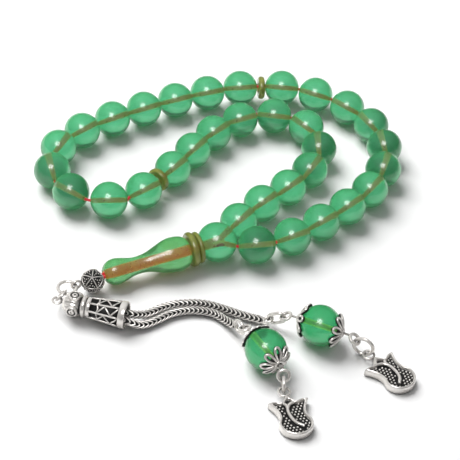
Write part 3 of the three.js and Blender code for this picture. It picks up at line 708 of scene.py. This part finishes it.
# A dark sheet just inside the openwork skirt: painted shade, seen through its openings.
SKIRT_SHADE_SHEET = [(5.2, 1.72), (11.9, 2.32), (11.9, 2.26), (5.2, 1.66)]
GROOVES = ((3.55, 1.78), (4.8, 1.96))  # dark, one on each side of the waist
GROOVE_WIDTH = 0.4
GROOVE_FLOOR = 1.5
ALL_DARK = {0: 1, 1: 1, 2: 1, 3: 1}
FOLDS = 16
FOLD_DEPTH = 0.12
FOLDED_LENGTH = 3.8
HEAD_SIDES = 128
SKIRT_RIBS = 8
RIB_FROM, RIB_LENGTH = 5.6, 6.2
RIB_RADIUS = 0.2
BAND_AT, BAND_RISE = 7.25, 0.3  # the scalloped band round the skirt
BAND_RADIUS = 0.18
ZIGZAG_FROM, ZIGZAG_LENGTH = 7.4, 4.3
ZIGZAG_EDGE = 0.08  # how far the struts stop short of the ribs, as a share of the gap between them
ZIGZAG_DEPTH = 0.03
ZIGZAGS = 3
STRUT_RADIUS = 0.17
BOSSES = 4
BOSS_DISTANCE = 2.4  # 0.15 mm further down the cap than in the CAD, clear of the first tassel ring
# A boss's bands: (distance from the cap's axis, radius), and whether the band is dark.
BOSS_BANDS = [
    ([(0.9, 1.15), (2.0, 1.17), (2.4, 1.15), (2.58, 1.05), (2.56, 0.92), (2.4, 0.88)], False),
    ([(2.42, 0.9), (2.36, 0.6)], True),
    ([(2.34, 0.66), (2.5, 0.62), (2.6, 0.46), (2.62, 0.2)], False),
    ([(2.62, 0.24), (2.5, 0.02)], True),
]


def on_skirt(x, turn, lift=0.0):
    """A point on the skirt, which flares evenly from the waist to the rim."""
    (top, top_radius), (bottom, bottom_radius) = (5.2, 1.98), (11.8, 2.6)
    radius = top_radius + (x - top) * (bottom_radius - top_radius) / (bottom - top) + lift
    return Vector((x, radius * math.cos(turn), radius * math.sin(turn)))


def folded_head(build):
    """The head's sheet, with folds that are deepest half way along it."""
    rows = []
    for point in smooth_line([(x, radius, 0) for x, radius in HEAD], 3):
        depth = FOLD_DEPTH * math.sin(math.pi * min(max(point.x / FOLDED_LENGTH, 0), 1))
        row = []
        for j in range(HEAD_SIDES):
            v = 2 * math.pi * j / HEAD_SIDES
            radius = point.y - depth * (0.5 + 0.5 * math.cos(FOLDS * v))
            row.append((point.x, radius * math.cos(v), radius * math.sin(v)))
        rows.append(row)
    build.grid(rows)


def openwork(build, turn, half):
    """One rib of the skirt, with the band and the zigzag that join it to the next rib."""
    build.tube([on_skirt(RIB_FROM + RIB_LENGTH * k / 8, turn) for k in range(9)], RIB_RADIUS)
    band = [on_skirt(BAND_AT + BAND_RISE * math.sin(math.pi * k / 6), turn + half * k / 3)
            for k in range(7)]
    build.tube(band, BAND_RADIUS, sides=6)
    length = ZIGZAG_LENGTH / ZIGZAGS
    for k in range(ZIGZAGS):
        first, last = (ZIGZAG_EDGE, 1 - ZIGZAG_EDGE) if k % 2 else (1 - ZIGZAG_EDGE, ZIGZAG_EDGE)
        strut = []
        for m in range(6):
            x = ZIGZAG_FROM + length * (k + m / 5)
            across = first + (last - first) * m / 5
            strut.append(on_skirt(x, turn + 2 * half * across, -ZIGZAG_DEPTH))
        build.tube(strut, STRUT_RADIUS, sides=6)


cap_build = Build()
folded_head(cap_build)
cap_build.lathe(TIP, sides=32)
cap_build.lathe(WAIST, sides=48)
for x, radius in GROOVES:
    far = x + GROOVE_WIDTH
    groove = [(x, radius), (far, radius), (far, GROOVE_FLOOR), (x, GROOVE_FLOOR)]
    cap_build.lathe(groove, sides=48, slots=ALL_DARK)
cap_build.lathe(SKIRT_TOP, sides=48)
cap_build.lathe(RIM, sides=56)
# The skirt's painted shade: a dark sheet inside it.
cap_build.lathe(SKIRT_SHADE_SHEET, sides=48, slots=ALL_DARK)
for i in range(SKIRT_RIBS):
    openwork(cap_build, 2 * math.pi * (i + 0.5) / SKIRT_RIBS, math.pi / SKIRT_RIBS)
for i in range(BOSSES):
    boss = (Matrix.Rotation(2 * math.pi * i / BOSSES, 4, "X") @ Matrix.Translation((BOSS_DISTANCE, 0, 0))
            @ basis(UP, Vector((1, 0, 0))))
    for profile, is_dark in BOSS_BANDS:
        cap_build.lathe(profile, sides=32, closed=False, slots={0: 1} if is_dark else None, matrix=boss)
cap_build.finish("tassel_cap_visual", [silver, oxide_and_painted_shade], "tassel_cap", ["tassel_cap"],
                 placed(cap_tip, cap_run))

# ---- Chains and charms ----

FOX_PITCH = 0.95
FOX_WIRE_RADIUS = 0.18
FOX_LEAN = 1.6  # how far a link's points lie ahead of its sides
FOX_FACE = math.radians(139)  # round the chain from its side, where the links' points lie
FOX_POINTEDNESS = 1.3
FOX_FLATNESS = 0.92
FOX_SHADE_CORE = 0.72  # the dark core's share of the links' radius; the core is painted shade between the links
CORE_STEP = 0.5
LINK_POINTS = 20


def foxtail(build, line):
    """Rows of V-shaped links, as a foxtail chain is woven, over a dark core that is painted shade between
    them.
    """
    radius = CHAIN_DIAMETER / 2 - FOX_WIRE_RADIUS
    # The dark core: painted shade inside the chain.
    build.tube([point for point, _ in evenly(line, CORE_STEP)], radius * FOX_SHADE_CORE, sides=10, slot=1)
    for point, along in evenly(line, FOX_PITCH):
        side = UP.cross(along).normalized()
        up = along.cross(side)
        link = []
        for k in range(LINK_POINTS):
            v = 2 * math.pi * k / LINK_POINTS
            lean = FOX_LEAN * (abs(math.cos(v - FOX_FACE)) ** FOX_POINTEDNESS - 0.5)
            across = side * radius * math.cos(v) + up * radius * FOX_FLATNESS * math.sin(v)
            link.append(point + across + along * lean)
        build.tube(link, FOX_WIRE_RADIUS, sides=6, closed=True, normal=along)


def add_chain(letter, side, route, end, end_run, end_normal, end_loop):
    """A chain from the cap's pin along its route to its end, with a ring soldered on at both ends."""
    top_loop = pin_eye_centre + cap_run * (CAP_PIN_LOOP_DISTANCE + linked(CAP_PIN_LOOP, CHAIN_TOP_LOOP))
    start = top_loop + cap_run * (CHAIN_TOP_LOOP[0] - CHAIN_TOP_LOOP[1] / 2) + cap_side * side * CHAIN_SIDE
    mouth = cap_tip + cap_run * CAP_LENGTH + cap_side * side * (CHAIN_SIDE + CHAIN_SPREAD)
    mouth.z = TASSEL_HEIGHT - CHAIN_SAG
    line = smooth_line([start, mouth, *[Vector(point) - MIDDLE for point in route], end], 8)
    body = f"chain_{letter}"
    build = Build()
    foxtail(build, line)
    chain = build.finish(f"chain_{letter}_visual", [silver, oxide_and_painted_shade], body, [body])
    top = wire_ring(f"chain_{letter}_top_loop", body, CHAIN_TOP_LOOP,
                    placed(top_loop + cap_side * side * CHAIN_TOP_SIDE, cap_run, cap_side))
    loop = wire_ring(f"chain_{letter}_end_loop", body, end_loop,
                     placed(end + end_run * (end_loop[0] + end_loop[1] - SOLDER), end_run, end_normal))


# The petal cap's hub: (distance out from the surface that the petals lie on, radius).
HUB = [(0.05, 0.45), (0.5, 0.5), (0.62, 0.75), (0.45, 1.0), (0.15, 1.05), (-0.05, 0.8)]
SEAT_FROM = 10  # degrees from the bead's pole
SEAT = ((0.02, 29), (0.18, 28))  # height above the surface, and the degrees it reaches
PETAL_POINTS = 24
PETAL_MIDDLE, PETAL_HALF_LENGTH = 28, 18  # degrees from the bead's pole
PETAL_HALF_WIDTH = 0.62
PETAL_TAPER = (0.85, 0.3)  # the width's share half way, and how much it changes towards the ends
PETAL_NORMAL = Vector((-0.85, 0, 0.5))  # roughly out of the bead at a petal
PETAL_HEIGHT = 0.2  # the wire's middle above the surface, and its rise at the tip
PETAL_RISE = 0.12
PETAL_WIRE_RADIUS = 0.25
SHADE_DEPTH = 0.16  # the dark wire under each petal is this much lower, and wider
SHADE_RADIUS = 0.33


def petal_cap(name, centre, along):
    """Wire petals from a small hub, lying on the bead."""
    build = Build()
    surface = CHARM_BEAD_DIAMETER / 2 + PETAL_CAP_GAP
    build.lathe([(-surface - out, radius) for out, radius in HUB], sides=32)
    inner, outer = [arc(surface + height, SEAT_FROM, reach, 4) for height, reach in SEAT]
    seat = [*inner, *reversed(outer)]
    build.lathe(seat, sides=48, slots={k: 1 for k in range(len(seat))})
    for i in range(PETALS):
        turn = Matrix.Rotation(2 * math.pi * i / PETALS, 4, "X")
        outward = turn @ PETAL_NORMAL
        petal = []
        for k in range(PETAL_POINTS):
            v = 2 * math.pi * k / PETAL_POINTS
            polar = math.radians(PETAL_MIDDLE - PETAL_HALF_LENGTH * math.cos(v))
            width = PETAL_HALF_WIDTH * math.sin(v) * (PETAL_TAPER[0] - PETAL_TAPER[1] * math.cos(v))
            reach = surface + PETAL_HEIGHT + PETAL_RISE * (1 - math.cos(v)) ** 2 / 4
            petal.append(turn @ Vector((-reach * math.cos(polar), width, reach * math.sin(polar))))
        shade = [point * (1 - SHADE_DEPTH / surface) for point in petal]
        build.tube(shade, SHADE_RADIUS, sides=6, closed=True, slot=1, normal=outward)
        build.tube(petal, PETAL_WIRE_RADIUS, closed=True, normal=outward)
    build.finish(f"{name}_visual", [silver, oxide_and_painted_shade], name, [name], placed(centre, along))


# Half of a tulip's outline from its neck: (distance from the middle of the loop's wire, half width).
TULIP_NECK = [(0, 0), (1.0, 0.75)]
TULIP_PETAL = [(1.91, 1.33), (1.41, 2.56), (1.46, 3.99)]
TULIP_FLANK = [(1.46, 3.99), (3.37, 3.04), (5.19, 2.71), (7.01, 3.32), (8.74, 2.85), (9.83, 1.52), (10.19, 0)]
TULIP_DIVIDER = [
    (1.91, -1.23), (2.55, 0.1), (3.73, 0.71), (5.19, 0.66), (6.55, 0.28), (7.46, -0.38), (8.19, -1.33),
]
TULIP_LEAF = [(1.91, 1.23), (2.64, 0.71), (3.28, 0.66)]
TULIP_FLOOR = 1.15
TULIP_BORDER = 0.55
# The border's section: (height, how much of the border's width it lies in from the outline).
TULIP_SECTION = [
    (0.0, 0.12), (0.25, 0.0), (1.15, 0.0), (1.6, 0.12), (TULIP_THICKNESS, 0.42), (1.72, 0.72), (1.5, 0.9),
    (TULIP_FLOOR, 0.95),
]
DIVIDER_HEIGHT = 1.45
DIVIDER_RADIUS = 0.32
GRAIN_PITCH = 0.72
GRAIN_ROW = 0.87  # the distance between rows, as a share of the pitch
GRAIN_RADIUS = 0.23
GRAIN_RISE = 0.08
GRAIN_START = (0.6, -5)
GRAIN_ROWS = 20
GRAIN_CLEARANCE = 0.66


def near_line(point, line, reach):
    """Whether a point is within reach of a line of short steps."""
    return any((point - other).length < reach for other in line)


def inside(point, polygon):
    """Whether a ray from the point along X crosses the polygon an odd number of times."""
    within = False
    for a, b in zip(polygon, polygon[1:] + polygon[:1]):
        if (a[1] > point.y) != (b[1] > point.y):
            if point.x < (b[0] - a[0]) * (point.y - a[1]) / (b[1] - a[1]) + a[0]:
                within = not within
    return within


def inset_of(outline, edge, border):
    """The outline moved in by its border. Where it is too narrow for that, its points go evenly between."""
    count = len(outline)
    moved = []
    for i, (x, y) in enumerate(outline):
        run = (Vector(outline[(i + 1) % count]) - Vector(outline[i - 1])).normalized()
        moved.append(Vector((x + run.y * border, y - run.x * border)))
    clear = [i for i in range(count) if not near_line(moved[i], edge, 0.9 * border)]
    for before, after in zip(clear, clear[1:] + [clear[0] + count]):
        for i in range(before + 1, after):
            moved[i % count] = moved[before].lerp(moved[after % count], (i - before) / (after - before))
    return [(point.x, point.y) for point in moved]


def tulip(name, matrix, flip):
    """A tulip on its back: a dark recess of silver grains inside a raised border and an S-shaped divider."""
    tip = TULIP_LOOP[0]
    petal = smooth_line([(x, y, 0) for x, y in TULIP_PETAL])
    flank = smooth_line([(x, y, 0) for x, y in TULIP_FLANK] + [(9.83, -1.52, 0)])[:-6]
    half = [*[Vector((x, y, 0)) for x, y in TULIP_NECK], *petal[:-1], *flank]
    outline = [(p.x + tip, p.y) for p in half] + [(p.x + tip, -p.y) for p in reversed(half[1:-1])]
    sides = zip(outline, outline[1:] + outline[:1])
    edge = [Vector(a).lerp(Vector(b), k / 4) for a, b in sides for k in range(4)]
    inset = inset_of(outline, edge, TULIP_BORDER)
    build = Build()
    rows = []
    for z, share in TULIP_SECTION:
        rows.append([(x + (in_x - x) * share, (y + (in_y - y) * share) * flip, z)
                     for (x, y), (in_x, in_y) in zip(outline, inset)])
    made = build.grid(rows)
    build.cap(made[0])
    build.cap(made[-1], 1)
    walls = [*edge]
    for line in (TULIP_DIVIDER, TULIP_LEAF):
        points = [(x, y, 0) for x, y in line]
        ridge = [Vector((p.x + tip, p.y * flip, DIVIDER_HEIGHT)) for p in smooth_line(points, 5)]
        build.tube(ridge, DIVIDER_RADIUS)
        walls += [Vector((p.x + tip, p.y)) for p in smooth_line(points, 8)]
    for row in range(GRAIN_ROWS):
        for column in range(GRAIN_ROWS):
            along = tip + GRAIN_START[0] + row * GRAIN_PITCH * GRAIN_ROW
            spot = Vector((along, GRAIN_START[1] + (column + row % 2 / 2) * GRAIN_PITCH))
            if inside(spot, outline) and not near_line(spot, walls, GRAIN_CLEARANCE):
                grain = (spot.x, spot.y * flip, TULIP_FLOOR + GRAIN_RISE)
                build.ball(grain, GRAIN_RADIUS, rings=6, sides=10)
    build.ring(TULIP_LOOP, matrix=Matrix.Translation((0, 0, TULIP_LOOP_HEIGHT)))
    build.finish(f"{name}_visual", [silver, oxide_and_painted_shade], name, [name], matrix)


mounts = {mount["name"]: Vector(mount["pos_m"]) / MM for mount in frame["record"]["mounts"]}
PIN_OVERLAP = 0.2  # how far the pin's wire stops inside its eyes

for letter, charm in CHARMS.items():
    has_link = letter == "a"
    centre, run = spin_axis(f"charm_bead_{letter}_spin")
    height = CHARM_BEAD_DIAMETER / 2
    back_end = centre - run * PIN_EYE_DISTANCE
    sizes = [PIN_EYE, *([OVAL_LINK] if has_link else []), charm["chain_loop"]]
    spans = [linked(a, b) for a, b in zip(sizes, sizes[1:])]
    back_length = PIN_EYE[0] + sum(spans) + sum(charm["chain_loop"]) - SOLDER
    back = falling(charm["back"], height - charm["chain_height"], back_length)
    back_eye = back_end + back * PIN_EYE[0]
    upright = UP.cross(back)
    if has_link:
        wire_ring("charm_link_a_visual", "charm_link_a", OVAL_LINK,
                  placed(back_eye + back * spans[0], back, upright), OVAL_STRETCH, ["charm_link_a"])

    far_end = centre + run * PIN_EYE_DISTANCE
    ring_height = sum(charm["ring"]) + OFF_TABLE
    to_ring = PIN_EYE[0] + linked(PIN_EYE, charm["ring"])
    on = falling(charm["eye"], height - ring_height, to_ring)
    wire_ring(f"charm_ring_{letter}_visual", f"charm_ring_{letter}", charm["ring"],
              placed(far_end + on * to_ring, on, UP.cross(on)), nodes=[f"charm_ring_{letter}"])
    tulip_run = heading(charm["tulip"])
    loop_foot = mounts[f"rest_tulip_{letter}"] - tulip_run * TULIP_MOUNT
    tulip(f"tulip_{letter}", placed(loop_foot, tulip_run), charm["flip"])

    pin = Build()
    wire = [back_end - centre + run * PIN_OVERLAP, far_end - centre - run * PIN_OVERLAP]
    pin.tube(wire, PIN_WIRE_RADIUS, sides=12)
    for eye, along in ((back_eye, back), (far_end + on * PIN_EYE[0], on)):
        pin.ring(PIN_EYE, matrix=Matrix.Translation(eye - centre) @ basis(along))
    pin_name = f"charm_pin_{letter}"
    pin.finish(f"{pin_name}_visual", [silver], pin_name, [pin_name], Matrix.Translation(centre))
    petal_cap(f"petal_cap_{letter}1", centre, run)
    petal_cap(f"petal_cap_{letter}2", centre, -run)

    route = CHAIN_A_ROUTE if has_link else CHAIN_B_ROUTE
    add_chain(letter, charm["flip"], route, back_end + back * back_length, -back, UP if has_link else upright,
              charm["chain_loop"])

# ---- Floor and light ----

FLOOR_SIZE = 8  # metres, as are all sizes in this section
FLOOR_GAP = 0.0001
floor_nodes = Nodes("floor", Roughness=0.9)
floor_nodes.ramp(floor_nodes.noise(40), [(0.3, grey(0.90)), (0.7, grey(0.92))], "Base Color")
bpy.ops.mesh.primitive_plane_add(size=FLOOR_SIZE)
floor = bpy.context.object
floor.name = "floor"
floor.location.z = -FLOOR_GAP
floor.data.materials.append(floor_nodes.material)

world = bpy.data.worlds.new("studio")
world.use_nodes = True
background = world.node_tree.nodes["Background"]
sky_place = world.node_tree.nodes.new("ShaderNodeTexCoord")
sky_height = world.node_tree.nodes.new("ShaderNodeSeparateXYZ")
sky = world.node_tree.nodes.new("ShaderNodeValToRGB")
sky.color_ramp.elements[0].position, sky.color_ramp.elements[0].color = 0.1, grey(0.12)
sky.color_ramp.elements[1].position, sky.color_ramp.elements[1].color = 0.75, grey(1.0)
world.node_tree.links.new(sky_place.outputs["Generated"], sky_height.inputs["Vector"])
world.node_tree.links.new(sky_height.outputs["Z"], sky.inputs["Fac"])
world.node_tree.links.new(sky.outputs["Color"], background.inputs["Color"])
background.inputs["Strength"].default_value = 0.28
bpy.context.scene.world = world


def softbox(name, place, size, watts):
    """A square light that faces the middle of the piece."""
    light = bpy.data.lights.new(name, "AREA")
    light.size = size
    light.energy = watts
    obj = bpy.data.objects.new(name, light)
    obj.location = Vector(place)
    obj.rotation_euler = (-Vector(place)).to_track_quat("-Z", "Y").to_euler()
    bpy.context.collection.objects.link(obj)
    return obj


key = softbox("key", (-0.34, 0.34, 0.6), 0.6, 9.5)
key.visible_glossy = False
key.visible_transmission = False
front = softbox("front", (-0.09, -0.30, 0.62), 0.32, 4.0)
front.visible_diffuse = False
front.visible_transmission = False
bpy.context.scene.view_settings.view_transform = "Standard"

bpy.context.view_layer.update()
